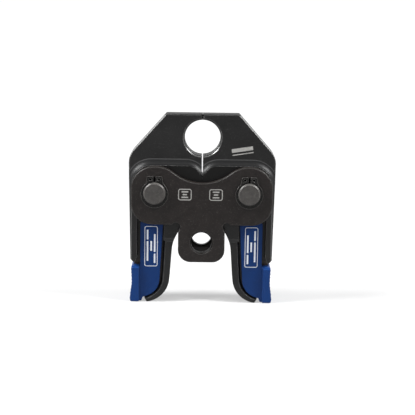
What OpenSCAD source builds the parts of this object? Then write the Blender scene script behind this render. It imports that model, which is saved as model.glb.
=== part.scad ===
// Press fitting tool jaw: two forged jaw halves hinged between two T-shaped side plates.
// Origin: centre of the tool pin bore. X to the right, Y to the back, Z up. Millimetres.

/* [Layout] */
// Distance between the two pivot pins
pivot_spacing = 64.6; // [58:0.2:72]
// Height of the pivot pins above the tool pin bore
pivot_h = 34; // [30:0.5:40]
// Gap between the two jaw halves where they close on each other
parting_gap = 0.1; // [0.04:0.02:0.2]

/* [Pressing bore] */
// Height of the pressing bore above the pivot pins
bore_rise = 37.2; // [35:0.2:42]
// Diameter over the pressing ridges
ridge_d = 24.6; // [20:0.2:28]
// Depth of the grooves between the ridges
ridge_depth = 0.8; // [0.3:0.1:1.4]
// Width of each pressing ridge
ridge_w = 2.4; // [1.6:0.1:3]
// Lead-in chamfer of the bore at both faces
bore_lead = 1.1; // [0.5:0.1:1.8]

/* [Jaw head] */
// Thickness of the head
head_t = 15; // [12:0.5:18]
// Height of the head's top edge above the pivots
head_rise = 53.4; // [51:0.2:58]
// Half width of the flat top edge
head_top_half = 25.1; // [18:0.1:30]
// Distance of the shoulder outside the pivots
shoulder_out = 18.3; // [17:0.1:22]
// Height of the shoulder above the pivots
shoulder_rise = 24.7; // [22:0.1:32]
// Radius of the shoulder
shoulder_r = 14; // [6:0.5:20]
// Radius of the head's top corners
top_corner_r = 1.8; // [0.5:0.1:4]
// Chamfer along the edges of the head
head_chamfer = 0.6; // [0.2:0.1:1.2]
// Chamfer along the split above the pressing bore
split_chamfer = 0.9; // [0.3:0.1:1.4]
// Half width of the slit between bore and hub
slit_half = 0.35; // [0.2:0.05:0.8]
// Height above the pivots where the slit ends
slit_end_rise = 11.5; // [8:0.5:14]

/* [Jaw hub] */
// Thickness of the hub and the leg
hub_t = 21.8; // [19:0.2:26]
// Height of the hub's upper edge above the pivots
hub_rise = 18.3; // [16:0.1:20]
// Width of the coved band round the hub
band_w = 4.4; // [2:0.1:5]
// Radius of the cove
cove_r = 5.5; // [4.5:0.1:9]
// Hub corner radius next to the seam
hub_inner_r = 11.7; // [6:0.1:14]
// Hub corner radius at the outer side
hub_outer_r = 13.3; // [8:0.1:15]
// Distance of the hub's outer edge from the pivots
hub_out = 15.8; // [15:0.1:17]
// Height of the closed contact face below the pivots
contact_drop = 1; // [0.2:0.1:1]
// Relief of the flank beside the seam at its lower end
flank_relief = 4; // [3:0.1:6]
// Drop of the flank's lower end below the pivots
flank_drop = 16.8; // [15:0.2:18]
// Radius of the arch above the rollers
arch_r = 30; // [16:1:40]
// Drop of the arch's corner point below the pivots
arch_drop = 25.1; // [23:0.1:28]

/* [Leg] */
// Distance of the leg's inner side outside the pivots
leg_in = 12.1; // [11:0.1:13]
// Distance of the leg's outer side outside the pivots, at its end
leg_out = 16.7; // [16:0.1:18]
// Drop of the leg's point below the pivots
leg_drop = 49.6; // [44:0.2:50]
// Height of the bevel at the leg's end, on its inner side
leg_bevel_h = 4.3; // [2:0.1:6]
// Width of that bevel
leg_bevel_w = 1.9; // [1:0.1:3]
// Rise of the leg's end from its point to its outer side
leg_end_rise = 2.2; // [1:0.1:3]

/* [Cam arm] */
// Thickness of the cam arm
arm_t = 18; // [14:0.5:20]
// Distance of the arm's cam face inside the pivots, at the arch
cam_in = 12.95; // [11:0.1:16]
// Distance of the arm's cam face inside the pivots, at the foot
cam_foot_in = 9.4; // [8:0.1:11]
// Rise of the cam face's foot above the tip
cam_foot_rise = 2.2; // [1:0.1:4]
// Radius of the cam face at the foot
cam_foot_r = 17.8; // [12:0.2:19]
// Drop of the arm's tip below the pivots
tail_drop = 77.7; // [74:0.2:82]
// Distance of the tip outside the pivots
tip_out = 5.2; // [3:0.2:7]
// Run of the tip's end face outwards
tip_run = 2.1; // [1:0.1:3]
// Rise of the tip's end face
tip_rise = 3.4; // [2:0.1:4.5]
// Distance of the arm's outer side inside the pivots, at the recess's upper end
arm_side_in = 7.3; // [6.5:0.1:8]
// Distance of the arm's outer side inside the pivots, at the foot
arm_foot_in = 4.1; // [3:0.1:5]
// Height of the arm's foot above the tip, on its outer side
arm_foot_rise = 5.8; // [5:0.1:7]
// Radius of the arm's outer curve
arm_outer_r = 14.4; // [10:0.2:15]
// Radius of the small corners at leg and tip
small_r = 0.6; // [0.3:0.1:1]
// Width of the sloped strip along the arm's outer edge
strip_w = 1.4; // [0.6:0.1:2]
// Depth of that strip
strip_depth = 3; // [1:0.1:4]
// Distance of that strip's upper end from the ramp
strip_gap = 0.4; // [0.2:0.1:1]
// Drop of the ramp's upper edge below the pivots
ramp_drop = 32.3; // [30:0.2:36]
// Length of the ramp from hub level to arm level
ramp_len = 2.8; // [1.5:0.1:5]

/* [Web and recess] */
// Thickness of the web between leg and arm
web_t = 6; // [4:0.5:9]
// Drop of the recess's upper end below the pivots
recess_drop = 15; // [13:0.5:17]
// Corner radius of the recess
recess_r = 3; // [1.5:0.5:5]
// How far the web laps into the cam arm
web_lap = 3; // [2:0.1:3.4]
// How far the web laps under the leg
web_out = 2.3; // [1:0.1:3]
// Reach of the web below the leg's point, inside the thumb pad
web_reach = 10; // [6:0.5:13]

/* [Side plates] */
// Thickness of each side plate
plate_t = 6; // [4:0.5:8]
// Play between a side plate and the hub
plate_play = 0.1; // [0.05:0.05:0.3]
// Distance of the plate's side outside the pivots
plate_out = 16.1; // [15:0.1:18]
// Height of the plate's lobes above the pivots
lobe_rise = 18.2; // [16:0.1:20]
// Outer radius of the lobes
lobe_r = 15.5; // [12:0.5:17]
// Inner radius of the lobes
lobe_inner_r = 19.5; // [14:0.5:24]
// Distance of the lobe's inner shoulder inside the pivots
lobe_in = 7.4; // [5:0.1:10]
// Radius of the valley between the lobes
valley_r = 31; // [20:1:36]
// Slope of the valley's sides
valley_slope = 38; // [32:1:44]
// Height of the wings' lower edge above the tool pin bore
wing_h = 12.2; // [9:0.1:14]
// Radius of the wings' lower corners
wing_r = 14.4; // [8:0.2:18]
// Radius of the relief notch beside the tongue
notch_r = 2.9; // [2:0.1:4]
// Width of the tongue
tongue_w = 32; // [28:0.5:36]
// Drop of the tongue's end below the tool pin bore
tongue_drop = 13.7; // [11:0.1:16]
// Radius of the tongue's corners
tongue_r = 8.6; // [4:0.2:10]
// Chamfer along the plates' edges
plate_chamfer = 0.5; // [0.2:0.1:1]

/* [Tool pin bore] */
// Diameter of the bore for the press tool's locking pin
tool_bore_d = 14.1; // [12:0.1:16]
// Chamfer of that bore
tool_bore_chamfer = 0.9; // [0.3:0.1:1.5]

/* [Pivot pins and rings] */
// Diameter of a pivot pin
pin_d = 15; // [12:0.5:17]
// Length of the pin beyond each side plate
pin_proud = 3.4; // [2.6:0.1:5]
// Chamfer at the pin's ends
pin_chamfer = 0.8; // [0.3:0.1:1.2]
// Radial running clearance of the pin in hub and plates
pin_clearance = 0.05; // [0.02:0.01:0.09]
// Depth of the ring groove
groove_depth = 0.35; // [0.2:0.05:0.6]
// Thickness of a retaining ring
ring_t = 1.2; // [0.8:0.1:1.6]
// Side play of the ring in its groove and on the plate
ring_play = 0.04; // [0.02:0.01:0.1]
// Radial width of the ring beside the pin
ring_w = 1.9; // [1.5:0.1:2.6]
// Extra width of the ring opposite its gap
ring_swell = 0.7; // [0.3:0.1:1]
// Radial reach of the ring's lugs beyond the pin
lug_reach = 4.2; // [3.8:0.1:5]
// Half width of the gap between the lugs
lug_gap_half = 0.9; // [0.5:0.1:1.4]
// Width of a lug
lug_w = 4.2; // [3.6:0.1:5]
// Width of a lug's foot beside the lug
lug_foot = 1.6; // [0.8:0.1:2]
// Radius of a lug's outer corner
lug_r = 0.9; // [0.4:0.1:1.2]
// Diameter of the lug's plier hole
lug_hole_d = 1.7; // [1.2:0.1:2]

/* [Closing spring] */
// Drop of the spring's axis below the pivots
spring_drop = 11.2; // [10.6:0.1:11.6]
// Outer diameter of the coil
spring_d = 8; // [6:0.2:9]
// Diameter of the spring wire
spring_wire = 1.2; // [0.8:0.1:1.6]
// Number of coils
spring_turns = 9.5; // [6:0.5:12]
// Radial clearance of the coil in its pockets
spring_clearance = 0.4; // [0.3:0.05:0.8]
// Depth of each pocket from the seam
pocket_depth = 13.5; // [11:0.5:16]
// Gap between the coil's end and the pocket's floor
pocket_gap = 0.3; // [0.1:0.1:0.6]

/* [Grips] */
// Drop of the grip's upper end below the pivots
grip_drop = 21.5; // [19:0.1:24]
// Level of the grip's main face from the middle plane
grip_face = 8; // [7:0.1:8.6]
// Gap between the grip and the leg
leg_gap = 2.2; // [1:0.1:3]
// Gap between the grip and the cam arm
arm_gap = 1.1; // [0.5:0.1:2]
// Height of the grip's end above the arm's tip
grip_lift = 0.4; // [0.1:0.1:1]
// Level of the thumb pad's face from the middle plane
pad_face = 10.4; // [9.4:0.1:10.7]
// Gap between the leg's point and the thumb pad
pad_gap = 2.6; // [1.4:0.2:5]
// Step between the pad's inner edge and the grip's edge
pad_step = 0.8; // [0.4:0.1:2]
// Distance of the thumb pad's side outside the pivots
pad_out = 16.1; // [15:0.1:17.5]
// Hollow of the pad's side for the thumb
pad_hollow = 0.6; // [0.2:0.1:1]
// Radius of that hollow
pad_hollow_r = 30; // [20:1:40]
// Flare at the pad's lower end
pad_flare = 0.9; // [0.3:0.1:1.5]
// Height of the flare above the grip's end
pad_foot_h = 2.4; // [1.5:0.1:4]
// Gap between the grip's heel and the arm's tip
heel_gap = 0.7; // [0.4:0.1:1.2]
// Slope of the heel
heel_run = 1; // [0.5:0.1:2]
// Radius of the grip's soft corners
grip_r = 1; // [0.5:0.1:1.6]
// Distance of the ribs' ends from the pad's face
rib_inset = 0.8; // [0.5:0.1:1.6]
// Chamfer at the pad's upper end
pad_chamfer = 1.5; // [0.6:0.1:2.2]
// Number of ribs on the pad's side
rib_count = 8; // [4:1:12]
// Radius of a rib
rib_r = 0.7; // [0.4:0.1:0.9]
// Height of a rib above the pad's side
rib_h = 0.3; // [0.1:0.05:0.4]
// Distance of the first rib from the pad's upper end
rib_start = 2.4; // [1.6:0.2:4]
// Distance of the last rib from the pad's lower end
rib_end = 5.6; // [4:0.2:8]
// Clearance of the grip shells on the web and on each other
shell_clearance = 0.1; // [0.05:0.05:0.3]

/* [Grip screws] */
// Drop of the upper screw below the pivots
upper_screw_drop = 33; // [29:0.5:38]
// Drop of the lower screw below the pivots
lower_screw_drop = 60; // [56:0.5:64]
// Depth of the screw head's seat below the grip's face
screw_seat_depth = 3; // [2.6:0.1:3.4]
// Cover of plastic over the screw's end
screw_cover = 1.5; // [1:0.1:2.5]
// Diameter of the screw's shank
screw_d = 3; // [2.5:0.1:4]
// Diameter of the screw's head
screw_head_d = 5.6; // [4.6:0.1:7]
// Height of the screw's head
screw_head_h = 1.8; // [1.2:0.1:2.4]
// Radial clearance of the screw in the shells
screw_clearance = 0.1; // [0.05:0.05:0.2]
// Width across the flats of the screw's socket
socket_af = 2; // [1.5:0.1:2.6]

/* [Hidden] */
$fn = 96;

pivot_x = pivot_spacing / 2;
seam = -pivot_x + parting_gap / 2;
hub_half = hub_t / 2;
head_half = head_t / 2;
arm_half = arm_t / 2;
web_half = web_t / 2;
plate_in = hub_half + plate_play;
plate_face = plate_in + plate_t;
over = 1;
cut = 0.3;
// An arc is drawn this much larger than its fillet, so that it crosses the edges beside it cleanly
arc_over = 0.004;
bevel_slack = 0.01;

// Corners of an outline are [x, y, radius], counter-clockwise
function unit(v) = v / norm(v);
function spot(p) = [p.x, p.y];
function at(pts, i) = pts[(i + len(pts)) % len(pts)];
function half_angle(pts, i) =
    let(p = spot(at(pts, i)), a = unit(spot(at(pts, i - 1)) - p), b = unit(spot(at(pts, i + 1)) - p))
    acos(max(-1, min(1, a * b))) / 2;
function wanted_run(pts, i) = at(pts, i).z / tan(half_angle(pts, i));
function edge_share(pts, i) =
    let(need = wanted_run(pts, i) + wanted_run(pts, i + 1))
    need > 0 ? min(1, norm(spot(at(pts, i + 1)) - spot(at(pts, i))) / need) : 1;
function corner_r(pts, i) =
    half_angle(pts, i) > 89 ? 0 : at(pts, i).z * min(edge_share(pts, i), edge_share(pts, i - 1));
// A corner as [start of the arc, end of the arc, centre, turn, point, radius]
function corner(pts, i) =
    let(
        p = spot(at(pts, i)),
        a = spot(at(pts, i - 1)),
        b = spot(at(pts, i + 1)),
        u = unit(a - p),
        v = unit(b - p),
        half = half_angle(pts, i),
        r = corner_r(pts, i)
    )
    [p + u * r / tan(half), p + v * r / tan(half), p + unit(u + v) * r / sin(half),
        cross(p - a, b - p), p, r];
// The point and radius of a corner when the outline is moved by d to the right of its run
function moved_corner(pts, i, d) =
    let(
        c = corner(pts, i),
        s = c[3] > 0 ? 1 : -1,
        in = unit(unit(spot(at(pts, i - 1)) - c[4]) + unit(spot(at(pts, i + 1)) - c[4])),
        move = s * d / sin(half_angle(pts, i))
    )
    [c[4].x - move * in.x, c[4].y - move * in.y, max(0.1, c[5] + s * d)];
function flipped(pts) = [for (i = [len(pts) - 1:-1:0]) [-pts[i].x, pts[i].y, pts[i].z]];
function on_grid(v) = round(v * 1000) / 1000;
function line_x(a, b, y) = a.x + (b.x - a.x) * (y - a.y) / (b.y - a.y);

// A closed outline: corners cut straight first, then the round of each is added or taken away
module outline(pts) {
    corners = [for (i = [0:len(pts) - 1]) corner(pts, i)];
    difference() {
        union() {
            polygon([for (c = corners) each c[5] > 0 ? [c[0], c[1]] : [c[4]]]);
            for (c = corners)
                if (c[5] > 0 && c[3] > 0)
                    corner_round(c);
        }
        for (c = corners)
            if (c[5] > 0 && c[3] < 0)
                corner_round(c);
    }
}

// The round between a corner's arc and its chord
module corner_round(c) {
    intersection() {
        translate(c[2])
            circle(c[5] + arc_over);
        polygon([c[0], c[4], c[1]]);
    }
}

// Distance from a fillet's end to where its arc crosses the edge
function crossing(r) = sqrt(2 * arc_over * r);

// How far a straight bevel runs past a corner's arc end, and how far the round one runs back over it
function run_past(k) = k[3] > 0 ? over : k[5] > 0 ? crossing(k[5]) / 2 : 0;
function turn_past(k) = k[3] > 0 ? crossing(k[5]) : over;

// Section of a bevel cutter: inwards to the right, w wide and d deep from level z
function bevel_section(w, d, z) = [[-cut, z - d - cut * d / w], [w + cut, z + cut * d / w], [-cut, z + cut * d / w]];

// A bevel cutter along a straight edge between two corners, with the material to its left
module bevel_run(from, to, w, d, z) {
    run = to[0] - from[1];
    translate([from[1].x, from[1].y, 0])
        rotate([0, 0, atan2(run.y, run.x)])
            translate([-run_past(from), 0, 0])
                rotate([90, 0, 90])
                    linear_extrude(norm(run) + run_past(from) + run_past(to))
                        polygon(bevel_section(w, d, z));
}

// A bevel cutter round the arc of one corner, a hair outside a proud one
module bevel_turn(k, w, d, z) {
    from = k[0] - k[2];
    to = k[1] - k[2];
    past = turn_past(k) / k[5] * 180 / PI;
    sweep = acos(max(-1, min(1, unit(from) * unit(to)))) + 2 * past;
    start = (k[3] > 0 ? atan2(from.y, from.x) : atan2(to.y, to.x)) - past;
    outside = k[3] > 0 ? 1 : -1;
    r = k[5] + arc_over + (outside > 0 ? bevel_slack : 0);
    translate([k[2].x, k[2].y, 0])
        rotate([0, 0, start])
            rotate_extrude(angle = sweep)
                polygon([for (p = bevel_section(w, d, z)) [r - outside * p.x, p.y]]);
}

// Bevel cutters along part of an outline, from one corner to another
module bevel_along(pts, first, last, c, z) {
    for (i = [first:last]) {
        k = corner(pts, i);
        if (i < last)
            bevel_run(k, corner(pts, i + 1), c, c, z);
        if (k[5] > c)
            bevel_turn(k, c, c, z);
    }
}

module both_faces() {
    children();
    mirror([0, 0, 1])
        children();
}

// Drawn flat with the front face up, then stood upright with that face to the front
module upright() {
    rotate([90, 0, 0])
        children();
}

module on_pivot(side) {
    upright()
        mirror([side < 0 ? 1 : 0, 0, 0])
            translate([pivot_x, pivot_h, 0])
                children();
}

// The jaw half, drawn round its own pivot with the seam to the left
arch_top = [-cam_in, -arch_drop, arch_r];
cam_foot = [-cam_foot_in, -tail_drop + cam_foot_rise, cam_foot_r];
tip = [tip_out, -tail_drop, small_r];
tip_back = [tip_out + tip_run, -tail_drop + tip_rise, small_r];
outer_foot = [-arm_foot_in, -tail_drop + arm_foot_rise, arm_outer_r];
recess_in = [-arm_side_in, -recess_drop, recess_r];
recess_out = [leg_in, -recess_drop, recess_r];
shoulder = [shoulder_out, shoulder_rise, shoulder_r];
top_corner = [head_top_half - pivot_x, head_rise, top_corner_r];
arm_limit = leg_in - recess_r / 2;

jaw_pts = [
    [seam, -contact_drop, 0],
    [seam + flank_relief, -flank_drop, small_r],
    arch_top,
    cam_foot,
    tip,
    tip_back,
    outer_foot,
    recess_in,
    recess_out,
    [leg_in, -leg_drop + leg_bevel_h, small_r],
    [leg_in + leg_bevel_w, -leg_drop, small_r],
    [leg_out, -leg_drop + leg_end_rise, small_r],
    shoulder,
    top_corner,
    [seam, head_rise, 0]
];
// Places of some corners in that list
outer_foot_i = 6;
recess_in_i = 7;
leg_end_i = 11;
shoulder_i = 12;
top_corner_i = 13;

module jaw_half() {
    difference() {
        union() {
            intersection() {
                linear_extrude(hub_t + over, center = true)
                    outline(jaw_pts);
                thick_parts();
            }
            web();
        }
        head_chamfers();
        pressing_bore();
        translate([seam - over, slit_end_rise, -hub_half])
            cube([over + slit_half - parting_gap / 2, bore_rise - slit_end_rise, hub_t]);
        cylinder(h = hub_t + over, d = pin_d + 2 * pin_clearance, center = true);
        spring_pocket();
        both_faces()
            arm_strip();
        for (p = screw_places)
            translate(p)
                cylinder(h = web_t + over, d = screw_d + 4 * screw_clearance, center = true);
    }
}

// Head, hub with its coved band, and cam arm, before they are cut to the jaw's outline
module thick_parts() {
    translate([seam - over, 0, -head_half])
        cube([pivot_x + shoulder_out + 2 * over, head_rise + over, head_t]);
    hub();
    translate([-pivot_x, -tail_drop - over, -arm_half])
        cube([pivot_x + arm_limit, tail_drop + over, arm_t]);
    ramp();
}

// The hub's corner at the seam runs out a little past it
seam_runout = 0.3;
hub_inner_x = seam - seam_runout + hub_inner_r;
hub_outer_x = hub_out - hub_outer_r;
// Lap of the band's own section over the hub
band_lap = 1;

module hub() {
    linear_extrude(hub_t, center = true)
        outline([
            [seam - seam_runout, -ramp_drop, 0],
            [leg_in - over, -ramp_drop, 0],
            [leg_in - over, -leg_drop - over, 0],
            [hub_out - band_lap, -leg_drop - over, 0],
            [hub_out - band_lap, hub_rise - band_lap, hub_outer_r - band_lap],
            [seam - seam_runout + band_lap, hub_rise - band_lap, hub_inner_r - band_lap],
            [seam - seam_runout + band_lap, hub_rise - hub_inner_r, 0],
            [seam - seam_runout, hub_rise - hub_inner_r, 0]
        ]);
    translate([hub_inner_x, hub_rise, 0])
        rotate([90, 0, 90])
            linear_extrude(hub_outer_x - hub_inner_x)
                band_section(0);
    translate([hub_inner_x, hub_rise - hub_inner_r, 0])
        rotate([0, 0, 90])
            rotate_extrude(angle = 90)
                band_section(hub_inner_r);
    translate([hub_outer_x, hub_rise - hub_outer_r, 0])
        rotate_extrude(angle = 90)
            band_section(hub_outer_r);
    translate([hub_out, hub_rise - hub_outer_r, 0])
        rotate([90, 0, 0])
            linear_extrude(hub_rise - hub_outer_r + leg_drop + over)
                band_section(0);
}

// Section across the band: from hub level at the given distance down to head level
module band_section(r) {
    rise = hub_half - head_half;
    chord = norm([band_w, rise]);
    sag = sqrt(cove_r * cove_r - chord * chord / 4);
    centre = [on_grid(band_w / 2 + sag * rise / chord), on_grid(head_half + (rise + 2 * sag * band_w / chord) / 2)];
    difference() {
        polygon([
            [r - 2 * band_lap, -hub_half], [r, -hub_half], [r + band_w, -head_half],
            [r + band_w, head_half], [r, hub_half], [r - 2 * band_lap, hub_half]
        ]);
        for (s = [1, -1])
            translate([r + centre.x, s * centre.y])
                circle(cove_r + arc_over);
    }
}

module ramp() {
    translate([-pivot_x, -ramp_drop, 0])
        rotate([90, 0, 90])
            linear_extrude(pivot_x + arm_limit)
                polygon([
                    [over, -hub_half], [over, hub_half], [0, hub_half], [-ramp_len, arm_half],
                    [-ramp_len, -arm_half], [0, -hub_half]
                ]);
}

module web() {
    linear_extrude(web_t, center = true)
        outline(web_pts);
}

web_pts = [
    [outer_foot.x - web_lap, -recess_drop + over, 0],
    [outer_foot.x - web_lap, outer_foot.y + 4 * web_lap, 2 * web_lap],
    [outer_foot.x + web_lap / 2, outer_foot.y, 2 * web_lap],
    [tip_out, -tail_drop + web_lap - over, 0],
    [leg_in + web_out, -leg_drop - web_reach, 2 * web_lap],
    [leg_in + web_out, -recess_drop + over, 0]
];

// The head's chamfer starts under the band on the side and ends beside the pressing bore
module head_chamfers() {
    c = head_chamfer;
    start_y = hub_rise - band_w / 2;
    start = [line_x(corner(jaw_pts, leg_end_i)[1], corner(jaw_pts, shoulder_i)[0], start_y), start_y];
    top = plain_corner([seam, head_rise]);
    both_faces() {
        bevel_run(plain_corner(start), corner(jaw_pts, shoulder_i), c, c, head_half);
        bevel_along(jaw_pts, shoulder_i, top_corner_i, c, head_half);
        bevel_run(corner(jaw_pts, top_corner_i), top, c, c, head_half);
        bevel_run(top, plain_corner([seam, bore_rise + ridge_d / 2]), split_chamfer, split_chamfer, head_half);
    }
}

// A sharp end for a bevel that starts or stops along an edge
function plain_corner(p) = [p, p, p, 1, p, 0];

module pressing_bore() {
    r = ridge_d / 2;
    deep = r + ridge_depth;
    lead_in = head_half - bore_lead;
    outer_in = lead_in - ridge_w;
    mid = ridge_w / 2;
    translate([seam, bore_rise, 0])
        rotate_extrude()
            polygon(concat(
                [[0, -head_half - cut], [r + bore_lead + cut, -head_half - cut]],
                [[r, -lead_in], [r, -outer_in], [deep, -outer_in + ridge_depth]],
                [[deep, -mid - ridge_depth], [r, -mid], [r, mid], [deep, mid + ridge_depth]],
                [[deep, outer_in - ridge_depth], [r, outer_in], [r, lead_in]],
                [[r + bore_lead + cut, head_half + cut], [0, head_half + cut]]
            ));
}

module spring_pocket() {
    translate([-pivot_x - over, -spring_drop, 0])
        rotate([0, 90, 0])
            cylinder(h = pocket_depth + over, d = spring_d + 2 * spring_clearance);
}

// The sloped strip along the outer edge of the cam arm, from just below the ramp to the tip
module arm_strip() {
    foot = corner(jaw_pts, outer_foot_i);
    top_y = -ramp_drop - ramp_len - strip_gap;
    top = [line_x(foot[1], corner(jaw_pts, recess_in_i)[0], top_y), top_y];
    bevel_turn(foot, strip_w, strip_depth, arm_half);
    bevel_run(foot, plain_corner(top), strip_w, strip_depth, arm_half);
}

module left_jaw() {
    color("#3b3b3d")
        on_pivot(-1)
            jaw_half();
}

module right_jaw() {
    color("#3b3b3d")
        on_pivot(1)
            jaw_half();
}

// The side plates, drawn round the tool pin bore
valley_foot = pivot_h + lobe_rise - (pivot_x - lobe_in) * tan(valley_slope);
plate_right = [
    [tongue_w / 2, -tongue_drop, tongue_r],
    [tongue_w / 2, wing_h, 0],
    [pivot_x + plate_out, wing_h, wing_r],
    [pivot_x + plate_out, pivot_h + lobe_rise, lobe_r],
    [pivot_x - lobe_in, pivot_h + lobe_rise, lobe_inner_r]
];
plate_pts = concat(plate_right, [[0, valley_foot, valley_r]], flipped(plate_right));
notch_x = tongue_w / 2 + notch_r / 2;
notch_y = wing_h - notch_r / 2;

module side_plate() {
    difference() {
        translate([0, 0, plate_in])
            linear_extrude(plate_t)
                difference() {
                    outline(plate_pts);
                    for (s = [1, -1])
                        translate([s * notch_x, notch_y])
                            circle(notch_r);
                }
        plate_edge(plate_face);
        translate([0, 0, plate_in + plate_face])
            mirror([0, 0, 1])
                plate_edge(plate_face);
        translate([0, 0, plate_in - over])
            cylinder(h = plate_t + 2 * over, d = tool_bore_d);
        for (z = [plate_in, plate_face])
            translate([0, 0, z])
                bore_chamfer(tool_bore_d / 2, tool_bore_chamfer, z == plate_in ? 1 : -1);
        for (s = [1, -1])
            translate([s * pivot_x, pivot_h, plate_in - over])
                cylinder(h = plate_t + 2 * over, d = pin_d + 2 * pin_clearance);
    }
}

module plate_edge(z) {
    bevel_along(plate_pts, 0, len(plate_pts), plate_chamfer, z);
    for (s = [1, -1])
        translate([s * notch_x, notch_y, z])
            bore_chamfer(notch_r, plate_chamfer, -1);
}

// A conical cutter that opens a bore of radius r towards the face at z = 0
module bore_chamfer(r, c, way) {
    rotate_extrude()
        polygon([
            [0, -way * cut], [r + c + cut, -way * cut], [r - cut, way * (c + cut)], [0, way * (c + cut)]
        ]);
}

module front_side_plate() {
    color("#424040")
        upright()
            side_plate();
}

module rear_side_plate() {
    color("#424040")
        upright()
            mirror([0, 0, 1])
                side_plate();
}

// Pivot pins with a groove for a ring at each end
pin_half = plate_face + pin_proud;
ring_in = plate_face + ring_play;
groove_r = pin_d / 2 - groove_depth;

module pivot_pin(side) {
    r = pin_d / 2;
    upright()
        translate([side * pivot_x, pivot_h, 0])
            rotate_extrude()
                polygon(concat(
                    [[0, -pin_half], [r - pin_chamfer, -pin_half], [r, -pin_half + pin_chamfer]],
                    groove_points(-1),
                    groove_points(1),
                    [[r, pin_half - pin_chamfer], [r - pin_chamfer, pin_half], [0, pin_half]]
                ));
}

function groove_points(way) =
    let(
        r = pin_d / 2,
        near = plate_face,
        far = plate_face + ring_t + 2 * ring_play,
        first = way > 0 ? near : -far,
        last = way > 0 ? far : -near
    )
    [[r, first], [groove_r, first], [groove_r, last], [r, last]];

module left_pivot_pin() {
    color("#6f6c69")
        pivot_pin(-1);
}

module right_pivot_pin() {
    color("#6f6c69")
        pivot_pin(1);
}

// External retaining ring with two lugs above the pin
ring_bore_r = groove_r + ring_play;
ring_outer_r = pin_d / 2 + ring_w;
lug_top = pin_d / 2 + lug_reach;
lug_low = pin_d / 2 - ring_w / 2;
lug_far = lug_gap_half + lug_w;

module ring_shape() {
    difference() {
        union() {
            translate([0, -ring_swell])
                circle(ring_outer_r);
            for (s = [1, -1])
                mirror([s < 0 ? 1 : 0, 0])
                    outline([
                        [lug_gap_half, lug_low - lug_foot, 0],
                        [lug_far + lug_foot, lug_low - lug_foot, 0],
                        [lug_far + lug_foot / 4, lug_low + lug_foot, lug_r],
                        [lug_far, lug_top, lug_r],
                        [lug_gap_half, lug_top, lug_r / 2]
                    ]);
        }
        circle(ring_bore_r);
        translate([-lug_gap_half, 0])
            square([2 * lug_gap_half, lug_top + over]);
        for (s = [1, -1])
            translate([s * (lug_gap_half + lug_w / 2), lug_top - lug_w / 2])
                circle(lug_hole_d / 2);
    }
}

module retaining_ring(side, way) {
    color("#33322f")
        upright()
            translate([side * pivot_x, pivot_h, way > 0 ? ring_in : -ring_in - ring_t])
                linear_extrude(ring_t)
                    ring_shape();
}

module front_left_retaining_ring() {
    retaining_ring(-1, 1);
}

module front_right_retaining_ring() {
    retaining_ring(1, 1);
}

module rear_left_retaining_ring() {
    retaining_ring(-1, -1);
}

module rear_right_retaining_ring() {
    retaining_ring(1, -1);
}

// Compression spring between the pockets of the two jaw halves, which closes the jaws
spring_half = pocket_depth - pocket_gap;
coil_r = (spring_d - spring_wire) / 2;
coil_steps = 16;
wire_sides = 8;
coil_rings = round(spring_turns * coil_steps);
end_turns = 1;

// Share of the free length that the wire has travelled after t of the turns, with closed end turns
function coil_travel(t) =
    let(closed = spring_wire * 1.05, free = 2 * spring_half - spring_wire - 2 * end_turns * closed)
    t < end_turns ? t * closed
    : t > spring_turns - end_turns ? end_turns * closed + free + (t - spring_turns + end_turns) * closed
    : end_turns * closed + free * (t - end_turns) / (spring_turns - 2 * end_turns);

module closing_spring() {
    points = [
        for (i = [0:coil_rings], j = [0:wire_sides - 1])
            let(
                turn = i / coil_steps,
                a = 360 * turn,
                b = 360 * j / wire_sides,
                r = coil_r + spring_wire / 2 * cos(b)
            )
            [coil_travel(turn) - spring_half + spring_wire / 2 + spring_wire / 2 * sin(b),
                r * cos(a), r * sin(a)]
    ];
    sides = [
        for (i = [0:coil_rings - 1], j = [0:wire_sides - 1])
            let(a = i * wire_sides + j, b = i * wire_sides + (j + 1) % wire_sides)
            [a, a + wire_sides, b + wire_sides, b]
    ];
    ends = [
        [for (j = [0:wire_sides - 1]) j],
        [for (j = [wire_sides - 1:-1:0]) coil_rings * wire_sides + j]
    ];
    color("#8d8b88")
        translate([0, 0, pivot_h - spring_drop])
            polyhedron(points, concat(sides, ends));
}

// Grips: two moulded shells round the web of each jaw half, joined by two screws
grip_edge = leg_in - leg_gap;
grip_foot = moved_corner(jaw_pts, outer_foot_i, arm_gap);
grip_top_in = [line_x(
    moved_corner(jaw_pts, recess_in_i, arm_gap), grip_foot, -grip_drop), -grip_drop, grip_r / 2];
grip_end = -tail_drop + grip_lift;
pad_top = -leg_drop - pad_gap;
grip_pts = [
    grip_top_in,
    grip_foot,
    [tip_back.x + heel_gap, tip_back.y - small_r / 2, grip_r / 2],
    [tip_back.x + heel_gap + heel_run, grip_end, grip_r],
    [pad_out + pad_flare - grip_r / 2, grip_end, grip_r],
    [pad_out + pad_flare, grip_end + pad_foot_h, 2 * grip_r],
    [pad_out - pad_hollow, (pad_top + grip_end) / 2, pad_hollow_r],
    [pad_out, pad_top, grip_r],
    [grip_edge, pad_top, grip_r],
    [grip_edge, -grip_drop, grip_r]
];
// Places of three corners in that list
pad_foot_i = 5;
pad_hollow_i = 6;
pad_top_i = 7;

// A screw sits in the middle of the grip's width
function screw_place(drop) = [(grip_edge + line_x(recess_in, outer_foot, -drop)) / 2, -drop];
screw_places = [screw_place(upper_screw_drop), screw_place(lower_screw_drop)];
screw_seat = grip_face - screw_seat_depth;
screw_tip = grip_face - screw_cover;

module grip_body() {
    intersection() {
        linear_extrude(pad_face)
            outline(grip_pts);
        union() {
            translate([-pivot_x, -tail_drop - over, 0])
                cube([2 * pivot_x, tail_drop + over, grip_face]);
            thumb_pad();
        }
    }
    thumb_ribs();
}

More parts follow.
